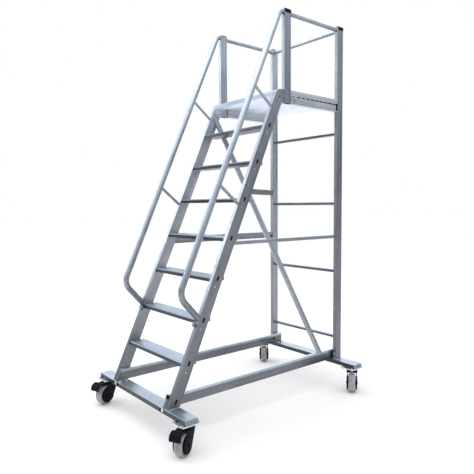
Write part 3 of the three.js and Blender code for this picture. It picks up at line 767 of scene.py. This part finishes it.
def weld_platform():
    """Beads round the platform beams' and mid ties' ends and up the guard posts' front edges."""
    bm = bmesh.new()
    top_gap = 4 * MM
    for side, sign in SIDES.items():
        low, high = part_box(f"platform_beam_{side}")
        post_low, post_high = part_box(f"rear_post_{side}")
        outline = round_trip((post_low.x, post_high.x), (low.z, high.z))
        for y in (low.y, high.y):
            bead(bm, [Vector((x, y, z)) for x, z in outline], closed=True, radius=BEAM_BEAD)
        low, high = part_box(f"mid_tie_{side}")
        outline = round_trip((low.x, high.x), (low.z, high.z))
        bead(bm, [Vector((x, high.y, z)) for x, z in outline], closed=True, radius=TIE_BEAD)
        stile_low, stile_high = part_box(f"stile_{side}")
        edge = stile_low.x if sign < 0 else stile_high.x
        post_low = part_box(f"guard_post_{side}")[0]
        top = PLATFORM_TOP * MM - top_gap
        line = [Vector((edge, post_low.y, post_low.z)), Vector((edge, post_low.y, top))]
        bead(bm, line, closed=False, radius=POST_BEAD)
    fitting("weld_beads_platform", bm, WELD, "frame")


# ---------- plugs, bolts and clips ----------

# Millimetres; heights named Z are above the floor, rises and drops are from a piece's own edge
PLUG_GAP = 1
RIVET_DROP = 52
FRONT_PLUG_DROP = 12
FRONT_PLUG_STAND = 4.5
BEAM_BOLT_LINES = (36, 1564)
BEAM_BOLT_OFFSET = 24
BEAM_BOLT_INSET = 22
FRONT_BOLT_X = 284
CLEAT_X = 306
CLEAT_RISE = 3
POST_BOLT_RISE = 46
RAIL_BOLT_Y = 1500
RAIL_BOLT_RISE = 38
GROOVE_DROP = 40
STRIPS = 9
STRIPS_START = 55
STRIPS_END = 16
STRIP_SHARE = 0.62
STRIP_GROWTH = 0.035
STILE_HEAD_SCREW_Z = 2162
STILE_HEAD_SCREW_Y = 44
CLIP_Z = 685
CLIP_X = 332
CLIP_INNER = 11
CLIP_OUTER = 15
CLIP_HALF = 16
CLIP_LUG = 17


def slot_plugs():
    """Black oval plugs in the stiles' outer faces at every tread, with a rivet below each."""
    plugs = bmesh.new()
    rivets = bmesh.new()
    length = (SLOT_LENGTH - PLUG_GAP) * MM
    width = (SLOT_WIDTH - PLUG_GAP) * MM
    heights = [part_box(node)[1].z / MM - SLOT_DROP for node in TREADS]
    for sign in SIDES.values():
        outward = ALONG_X * sign
        for z in [BEAM_TOP + FOOT_SLOT_RISE, *heights]:
            oval_plug(plugs, on_stile(sign, z), ALONG_LEAN, outward, length, width)
        for z in heights:
            rivet(rivets, on_stile(sign, z - RIVET_DROP), outward, radius=4.2 * MM)
    fitting("stile_slot_plugs", plugs, BLACK_PLASTIC, "frame")
    fitting("stile_rivets", rivets, ZINC, "frame")


def rail_plugs():
    """Black plugs on the side rails' rear ends and on the top of the right rail's leaning front end."""
    bm = bmesh.new()
    thickness = 3 * MM
    for side in SIDES:
        low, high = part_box(f"side_rail_{side}")
        y = high.y + thickness / 2 - HAIR
        rear = Vector(((low.x + high.x) / 2, y, (low.z + high.z) / 2))
        block(bm, rear, UPRIGHT_AXES, (high.x - low.x, thickness, high.z - low.z), bevel=0.8 * MM)
    low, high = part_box("side_rail_right")
    face = stile_front((low.x + high.x) / 2, high.z - FRONT_PLUG_DROP * MM)
    size = (high.x - low.x - 2 * MM, 25 * MM, 7 * MM)
    block(bm, face + OFF_STILE * FRONT_PLUG_STAND * MM, LEANING_AXES, size, bevel=3 * MM)
    fitting("side_rail_plugs", bm, BLACK_PLASTIC, "frame")


def rail_end_covers():
    """Plates over the side rails' leaning front ends."""
    bm = bmesh.new()
    thickness = 1.6 * MM
    for side in SIDES:
        low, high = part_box(f"side_rail_{side}")
        face = stile_front((low.x + high.x) / 2, (low.z + high.z) / 2)
        length = (high.z - low.z - 1 * MM) / ALONG_LEAN.z
        size = (high.x - low.x - 0.6 * MM, length, thickness)
        block(bm, face + OFF_STILE * (thickness / 2 + HAIR), LEANING_AXES, size, bevel=0.5 * MM)
    fitting("side_rail_end_covers", bm, EXTRUDED["leaning"], "frame")


def beam_end_plugs():
    """Grey inserts set a little way into the chambers at both ends of the cross beams."""
    bm = bmesh.new()
    gap = 0.4
    thickness = 3 * MM
    depth = 2.5 * MM
    for beam in BEAMS:
        low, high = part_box(beam)
        pitch = (high.y - low.y - BEAM_WALL * MM) / BEAM_CHAMBERS
        size = (thickness, pitch - (BEAM_WALL + gap) * MM, high.z - low.z - (2 * BEAM_WALL + gap) * MM)
        for k in range(BEAM_CHAMBERS):
            y = low.y + BEAM_WALL * MM / 2 + (k + 0.5) * pitch
            for x in (low.x + depth, high.x - depth):
                middle = Vector((x, y, (low.z + high.z) / 2))
                block(bm, middle, UPRIGHT_AXES, size, bevel=0.4 * MM)
    fitting("beam_end_plugs", bm, GREY_PLASTIC, "frame")


def base_bolts():
    """Bolts through the beams, the rear posts and the side rails' rear ends."""
    bolts = bmesh.new()
    dark_bolts = bmesh.new()
    bolt_x = STILE_INNER_X - RAIL_WIDTH - BEAM_BOLT_INSET
    for side, sign in SIDES.items():
        inward = -ALONG_X * sign
        for beam_y in BEAM_BOLT_LINES:
            for offset in (-BEAM_BOLT_OFFSET, BEAM_BOLT_OFFSET):
                seat = at(sign * bolt_x, beam_y + offset, BEAM_TOP)
                hex_bolt(bolts, seat, ALONG_Z, across_flats=12 * MM, height=5 * MM)
        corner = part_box("front_beam")[0]
        middle_z = corner.z + BEAM_HEIGHT * MM / 2
        seat = Vector((centre_x + sign * FRONT_BOLT_X * MM, corner.y, middle_z))
        hex_bolt(dark_bolts, seat, -ALONG_Y, across_flats=12 * MM, height=5 * MM)
        low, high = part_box(f"rear_post_{side}")
        bolt_z = low.z + POST_BOLT_RISE * MM
        inner = Vector((high.x if sign < 0 else low.x, (low.y + high.y) / 2, bolt_z))
        hex_bolt(bolts, inner, inward, across_flats=13 * MM, height=6 * MM)
        front = Vector(((low.x + high.x) / 2, low.y, bolt_z))
        hex_bolt(bolts, front, -ALONG_Y, across_flats=11 * MM, height=5 * MM)
        rail = at(sign * (STILE_INNER_X - RAIL_WIDTH), RAIL_BOLT_Y, BEAM_TOP + RAIL_BOLT_RISE)
        hex_bolt(dark_bolts, rail, inward, across_flats=13 * MM, height=6 * MM)
    fitting("base_bolts", bolts, ZINC, "frame")
    fitting("base_bolts_dark", dark_bolts, BLACK_STEEL, "frame")


def base_cleats():
    """Small plates on the front beam's face, just inside the stiles."""
    bm = bmesh.new()
    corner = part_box("front_beam")[0]
    thickness = 2.4 * MM
    z = corner.z + (BEAM_HEIGHT / 2 + CLEAT_RISE) * MM
    for sign in SIDES.values():
        middle = Vector((centre_x + sign * CLEAT_X * MM, corner.y - thickness / 2, z))
        block(bm, middle, UPRIGHT_AXES, (22 * MM, thickness, 20 * MM), bevel=0.6 * MM)
    fitting("base_cleats", bm, ZINC, "frame")


def platform_strips():
    """Black strips in the platform beams' grooves and a black plate near each beam's rear end."""
    bm = bmesh.new()
    strip_thickness = 1.6 * MM
    plate_thickness = 2 * MM
    recess = 0.5 * MM
    z = (PLATFORM_TOP - GROOVE_DROP) * MM
    for side, sign in SIDES.items():
        low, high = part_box(f"platform_beam_{side}")
        outer = high.x if sign > 0 else low.x
        start = low.y + STRIPS_START * MM
        pitch = (high.y - STRIPS_END * MM - start) / STRIPS
        x = outer - sign * (strip_thickness / 2 + recess)
        for k in range(STRIPS):
            length = pitch * (STRIP_SHARE + STRIP_GROWTH * k)
            middle = Vector((x, start + (k + 0.5) * pitch, z))
            block(bm, middle, UPRIGHT_AXES, (strip_thickness, length, 7 * MM), bevel=0.4 * MM)
        x = outer + sign * (plate_thickness / 2 + HAIR)
        plate = Vector((x, high.y - 9 * MM, low.z + 34 * MM))
        block(bm, plate, UPRIGHT_AXES, (plate_thickness, 17 * MM, 52 * MM), bevel=0.6 * MM)
    fitting("platform_edge_strips", bm, BLACK_PLASTIC, "frame")


def platform_screws():
    """Dark screw heads near each platform beam's front end and in each stile's head."""
    bm = bmesh.new()
    for side, sign in SIDES.items():
        low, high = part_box(f"platform_beam_{side}")
        outer = high.x if sign > 0 else low.x
        outward = ALONG_X * sign
        head_y = lean_y(STILE_HEAD_SCREW_Z) + STILE_HEAD_SCREW_Y
        upper = Vector((outer, low.y + 24 * MM, high.z - 42 * MM))
        lower = Vector((outer, low.y + 36 * MM, low.z + 24 * MM))
        for seat in (upper, lower):
            rivet(bm, seat, outward, radius=5 * MM)
        rivet(bm, at(sign * STILE_OUTER_X, head_y, STILE_HEAD_SCREW_Z), outward, radius=6 * MM)
    fitting("platform_screws", bm, BLACK_STEEL, "frame")


def clip_strap(bm, seat):
    """A half ring round a handrail's foot."""
    arc_parts = 14
    half = ALONG_LEAN * CLIP_HALF * MM
    rings = []
    for part in range(arc_parts + 1):
        angle = math.radians(180 * part / arc_parts)
        outward = ALONG_X * math.cos(angle) + OFF_STILE * math.sin(angle)
        near = seat + outward * CLIP_INNER * MM
        far = seat + outward * CLIP_OUTER * MM
        corners = (near - half, near + half, far + half, far - half)
        rings.append([bm.verts.new(corner) for corner in corners])
    closed_skin(bm, rings)


def handrail_clips():
    """Saddle clips that hold the handrails' feet to the stiles' fronts, under the second tread."""
    straps = bmesh.new()
    bolts = bmesh.new()
    thickness = 2.4 * MM
    for sign in SIDES.values():
        seat = at(sign * CLIP_X, lean_y(CLIP_Z), CLIP_Z)
        clip_strap(straps, seat)
        for end in (-1, 1):
            lug = seat + ALONG_X * end * CLIP_LUG * MM + OFF_STILE * (thickness / 2 + HAIR)
            block(straps, lug, LEANING_AXES, (13 * MM, 26 * MM, thickness), bevel=0.5 * MM)
            top = lug + OFF_STILE * thickness / 2
            hex_bolt(bolts, top, OFF_STILE, across_flats=7 * MM, height=3.5 * MM)
    fitting("handrail_foot_clips", straps, EXTRUDED["leaning"], "frame")
    fitting("handrail_foot_clip_bolts", bolts, BLACK_STEEL, "frame")


# ---------- casters ----------

# Profiles as (radius, offset along the axis) in millimetres. The tyre's and the hub's are the half
# on one side of their middle plane, and the bearing's and the fork covers' are used on both sides.
TYRE_HALF = [
    (68.8, 4), (68.6, 11), (67.2, 18.5), (64.5, 23.2), (60, 25),
    (55, 24.2), (54, 23.2), (53, 24), (51, 23.5), (46, 19),
]
HUB_HALF = [
    (47, 20), (45.5, 20.5), (41.5, 15), (38, 12.5), (23, 12.5),
    (20.2, 15), (19.6, 25), (18, 27), (15, 28), (6.8, 28),
]
BEARING = [(7, 27.5), (7, 29.6), (12, 30.2), (14, 29.6), (14.6, 28.6), (14.6, 27.5)]
FORK_COVER = [(13, 36.3), (13, 39.2), (20, 40), (46, 39.4), (50, 37.6), (50.5, 36.3)]
FORK_LINER = [(22, 30.8), (22, 27), (23, 26.3), (50, 26.3), (51.5, 27.5), (51.5, 30.8)]
SWIVEL_SEAL = [(38.4, -7), (40.2, -6), (40.4, 3), (39.2, 5.5), (38.4, 5.5)]
SEAL_Z = 158
TYRE_CRISP = math.radians(50)
HUB_RIBS = 8
HUB_RIB_RADIUS = 30.5
HUB_RIB_OFFSET = 14.5
HUB_RIB_SIZE = (22 * MM, 5 * MM, 5 * MM)
TYRE_SIDES = 96
HUB_SIDES = 64
BEARING_SIDES = 40
COVER_SIDES = 64
GRIPS = 5
GRIP_SIZE = (60 * MM, 3 * MM, 2.2 * MM)
FIRST_GRIP = 105
GRIP_PITCH = 6.5


def mirrored(half):
    """A whole profile from its half on one side of the middle plane."""
    return [(radius, -offset) for radius, offset in reversed(half)] + half


def turned(bm, centre, axis, profile, sides):
    """Revolves a profile given in millimetres."""
    lathe(bm, centre, axis, [(radius * MM, offset * MM) for radius, offset in profile], sides)


def turned_both_sides(bm, centre, axis, profile, sides):
    for sign in (-1, 1):
        turned(bm, centre, axis, [(radius, sign * offset) for radius, offset in profile], sides)


def hinge(joint_name):
    """A joint's centre and its axis."""
    joint = joints[joint_name]
    return Vector(joint["pos_m"]), Vector(joint["axis"]).normalized()


def caster_tyre(name):
    bm = bmesh.new()
    turned(bm, *hinge(f"roll_{name}"), mirrored(TYRE_HALF), TYRE_SIDES)
    tyre = fitting(f"tyre_{name}", bm, TYRE, f"wheel_{name}", TYRE_CRISP)
    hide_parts(f"caster_wheel_{name}")


def caster_hub(name):
    """The dished hub with radial ribs in both of its faces."""
    bm = bmesh.new()
    centre, axis = hinge(f"roll_{name}")
    turned(bm, centre, axis, mirrored(HUB_HALF), HUB_SIDES)
    for outward in spokes(axis, HUB_RIBS):
        axes = (outward, axis.cross(outward), axis)
        for sign in (-1, 1):
            middle = centre + outward * HUB_RIB_RADIUS * MM + axis * sign * HUB_RIB_OFFSET * MM
            block(bm, middle, axes, HUB_RIB_SIZE, bevel=1 * MM)
    hub = fitting(f"wheel_hub_{name}", bm, HUB_PLASTIC, f"wheel_{name}")
    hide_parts(f"caster_wheel_{name}")


def caster_bearing(name):
    bm = bmesh.new()
    turned_both_sides(bm, *hinge(f"roll_{name}"), BEARING, BEARING_SIDES)
    fitting(f"wheel_bearing_{name}", bm, ZINC, f"wheel_{name}")


def fork_covers(name):
    """Round black covers on both sides of each of the fork's legs."""
    bm = bmesh.new()
    for profile in (FORK_COVER, FORK_LINER):
        turned_both_sides(bm, *hinge(f"roll_{name}"), profile, COVER_SIDES)
    fitting(f"fork_covers_{name}", bm, BLACK_STEEL, f"caster_{name}")


def swivel_seal(name):
    """The dust seal round the swivel race."""
    bm = bmesh.new()
    pivot = hinge(f"swivel_{name}")[0]
    turned(bm, Vector((pivot.x, pivot.y, SEAL_Z * MM)), ALONG_Z, SWIVEL_SEAL, COVER_SIDES)
    fitting(f"swivel_seal_{name}", bm, HUB_PLASTIC, f"caster_{name}")


def pedal_top(reach):
    """The height and fall of the pedal's top at a distance from the swivel, in millimetres."""
    pairs = zip(PEDAL_TOP, PEDAL_TOP[1:])
    (near, near_z), (far, far_z) = next(ends for ends in pairs if ends[1][0] >= reach)
    fall = (far_z - near_z) / (far - near)
    return near_z + fall * (reach - near), fall


def pedal_ribs(name):
    """Foot grip ribs across the brake pedal's pad."""
    bm = bmesh.new()
    pivot, axle = hinge(f"brake_{name}")
    swivel = hinge(f"swivel_{name}")[0]
    outward = Vector((pivot.x - swivel.x, pivot.y - swivel.y, 0)).normalized()
    for k in range(GRIPS):
        reach = FIRST_GRIP + GRIP_PITCH * k
        level, fall = pedal_top(reach)
        slope = (outward + ALONG_Z * fall).normalized()
        middle = Vector((pivot.x, pivot.y, level * MM)) + outward * (reach - HINGE_X) * MM
        axes = (axle, slope, axle.cross(slope).normalized())
        block(bm, middle, axes, GRIP_SIZE, bevel=0.8 * MM)
    body = body_of[f"brake_pedal_{name}"]
    fitting(f"pedal_grip_{name}", bm, BLACK_PLASTIC, body)


def finish_casters():
    for name in CASTERS:
        refined(f"caster_plate_{name}", ZINC, bevel=0.7 * MM)
        refined(f"caster_fork_{name}", BLACK_STEEL, bevel=0.8 * MM)
        refined(f"caster_axle_{name}", BLACK_STEEL)
        caster_tyre(name)
        caster_hub(name)
        caster_bearing(name)
        fork_covers(name)
        swivel_seal(name)
    for name in BRAKED:
        refined(f"brake_pedal_{name}", BLACK_PLASTIC, bevel=1 * MM)
        pedal_ribs(name)


# ---------- studio ----------

FLOOR_HALF = 60.0
ROOM_FLOOR = colour(0.15, 0.145, 0.14)
ROOM_WALL = colour(0.30, 0.295, 0.29)
ROOM_CEILING = colour(0.78, 0.88, 1.0)
ROOM_ZENITH = colour(0.82, 0.91, 1.0)
ROOM_STRENGTH = 1.35
WHITE = colour(1.0, 1.0, 1.0)
COOL = (0.95, 0.98, 1.0)
COOLER = (0.90, 0.96, 1.0)

# The camera's place in ladder coordinates, its angles in degrees and its film's width
CAMERA_PLACE = (2851.85, -1533.86, 1413.2)
AZIMUTH = 50.30
TILT = 3.53
ROLL = -0.302
FIELD_OF_VIEW = 50.55
SENSOR_WIDTH = 36


def make_floor():
    mesh = bpy.data.meshes.new("studio_floor")
    corners = round_trip((-FLOOR_HALF, FLOOR_HALF), (-FLOOR_HALF, FLOOR_HALF))
    mesh.from_pydata([(x, y, 0) for x, y in corners], [], [(0, 1, 2, 3)])
    floor = bpy.data.objects.new("studio_floor", mesh)
    bpy.context.scene.collection.objects.link(floor)
    graph = Graph("studio_floor_paint")
    mottle = graph.noise((1.5, 1.5, 1.5), detail=3.0)
    shade = graph.blend(mottle, colour(0.96, 0.865, 0.80), colour(0.98, 0.88, 0.82))
    mesh.materials.append(graph.finish(shade, roughness=0.9))


def softbox(name, place, target, size, power, tint):
    """A lamp that lights the ladder and shows in its metal, though the camera can't see it."""
    data = bpy.data.lights.new(name, "AREA")
    data.shape = "RECTANGLE"
    data.size, data.size_y = size
    data.energy = power
    data.color = tint
    light = bpy.data.objects.new(name, data)
    light.location = place
    light.visible_camera = False
    light.rotation_euler = (Vector(target) - Vector(place)).to_track_quat("-Z", "Y").to_euler()
    bpy.context.scene.collection.objects.link(light)


def make_lights():
    softbox("ceiling_softbox", (0.2, -0.4, 5.2), (0, 0, 0.8), size=(4.5, 4.5), power=70, tint=COOL)
    softbox("front_softbox", (-3.6, -2.6, 3.4), (0, 0, 1.6), size=(2.4, 2.4), power=40, tint=COOL)
    softbox("back_softbox", (-4.5, 3.8, 1.9), (0, 0, 0.6), size=(5.0, 3.2), power=12, tint=COOLER)


def make_world():
    """A dim grey room with a bright cool ceiling; the camera sees a plain white backdrop."""
    world = bpy.data.worlds.new("studio")
    world.use_nodes = True
    tree = world.node_tree
    tree.nodes.clear()
    output = tree.nodes.new("ShaderNodeOutputWorld")
    mix = tree.nodes.new("ShaderNodeMixShader")
    room = tree.nodes.new("ShaderNodeBackground")
    backdrop = tree.nodes.new("ShaderNodeBackground")
    rays = tree.nodes.new("ShaderNodeLightPath")
    place = tree.nodes.new("ShaderNodeTexCoord")
    split = tree.nodes.new("ShaderNodeSeparateXYZ")
    ramp = tree.nodes.new("ShaderNodeValToRGB")
    stops = ramp.color_ramp.elements
    stops[0].position = 0.02
    stops[0].color = ROOM_FLOOR
    stops[1].color = ROOM_ZENITH
    for height, shade in ((0.14, ROOM_WALL), (0.34, ROOM_CEILING)):
        stops.new(height).color = shade
    tree.links.new(place.outputs["Generated"], split.inputs[0])
    tree.links.new(split.outputs["Z"], ramp.inputs["Fac"])
    tree.links.new(ramp.outputs["Color"], room.inputs["Color"])
    room.inputs["Strength"].default_value = ROOM_STRENGTH
    backdrop.inputs["Color"].default_value = WHITE
    tree.links.new(rays.outputs["Is Camera Ray"], mix.inputs["Fac"])
    tree.links.new(room.outputs["Background"], mix.inputs[1])
    tree.links.new(backdrop.outputs["Background"], mix.inputs[2])
    tree.links.new(mix.outputs["Shader"], output.inputs["Surface"])
    bpy.context.scene.world = world


def make_camera():
    azimuth = math.radians(AZIMUTH)
    tilt = math.radians(TILT)
    roll = math.radians(ROLL)
    level_forward = Vector((-math.sin(azimuth), math.cos(azimuth), 0))
    forward = level_forward * math.cos(tilt) - ALONG_Z * math.sin(tilt)
    level = Vector((math.cos(azimuth), math.sin(azimuth), 0))
    above = level.cross(forward)
    right = level * math.cos(roll) + above * math.sin(roll)
    up = above * math.cos(roll) - level * math.sin(roll)
    data = bpy.data.cameras.new("camera")
    data.sensor_width = SENSOR_WIDTH
    data.lens = SENSOR_WIDTH / 2 / math.tan(math.radians(FIELD_OF_VIEW) / 2)
    camera = bpy.data.objects.new("camera", data)
    turn = Matrix((right, up, -forward)).transposed().to_4x4()
    camera.matrix_world = Matrix.Translation(at(*CAMERA_PLACE)) @ turn
    bpy.context.scene.collection.objects.link(camera)
    bpy.context.scene.camera = camera


make_camera()
finish_extrusions()
finish_brace()
finish_decks()
finish_caps()
cap_skirts()
weld_treads()
tread_end_covers()
weld_round_ends()
weld_base()
weld_platform()
slot_plugs()
rail_plugs()
rail_end_covers()
beam_end_plugs()
base_bolts()
base_cleats()
platform_strips()
platform_screws()
handrail_clips()
finish_casters()
make_floor()
make_world()
make_lights()
bpy.context.scene.view_settings.view_transform = "Standard"
